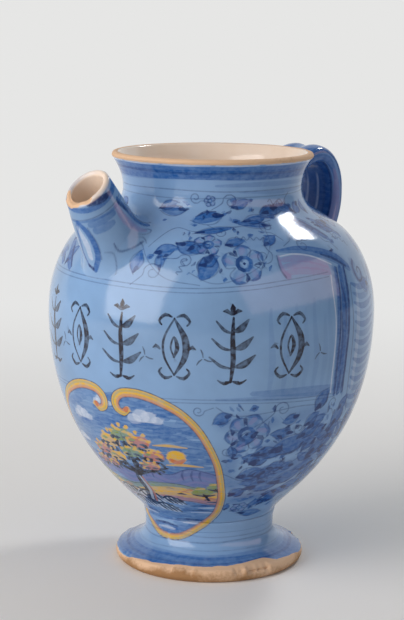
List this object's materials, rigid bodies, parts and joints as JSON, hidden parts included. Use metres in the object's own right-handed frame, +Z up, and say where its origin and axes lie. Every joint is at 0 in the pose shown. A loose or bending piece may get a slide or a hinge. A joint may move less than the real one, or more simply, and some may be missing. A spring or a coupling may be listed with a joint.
{
  "type": "spouted pharmacy jar",
  "caption": "Bulbous tin-glazed earthenware syrup jar with a short slanted pouring spout, a two-roll strap handle, a wide flared neck and a spreading pedestal foot.",
  "frame": {"origin": "centre of the foot's flat underside, on the jar's turning axis, where it stands on the table", "axes": "+Z up along the turning axis, -Y towards the pouring spout, +Y towards the handle, +X to the right seen from the spout side"},
  "size_m": [0.165, 0.1773, 0.21],
  "materials": {
    "painted_glaze": "glossy pale blue tin glaze with cobalt, manganese and yellow brushwork",
    "foot_glaze": "glossy blue tin glaze over a bare buff clay edge",
    "handle_glaze": "glossy blue tin glaze brushed over with cobalt",
    "luted_joint": "glossy pale blue tin glaze over worked clay"
  },
  "bodies": {
    "root": {"jar_body": "painted_glaze", "pedestal_foot": "foot_glaze", "foot_luting_ring": "luted_joint", "pouring_spout": "painted_glaze", "spout_luting_collar": "luted_joint", "strap_handle": "handle_glaze", "handle_top_luting": "luted_joint", "handle_base_luting": "luted_joint"}
  },
  "joints": []
}
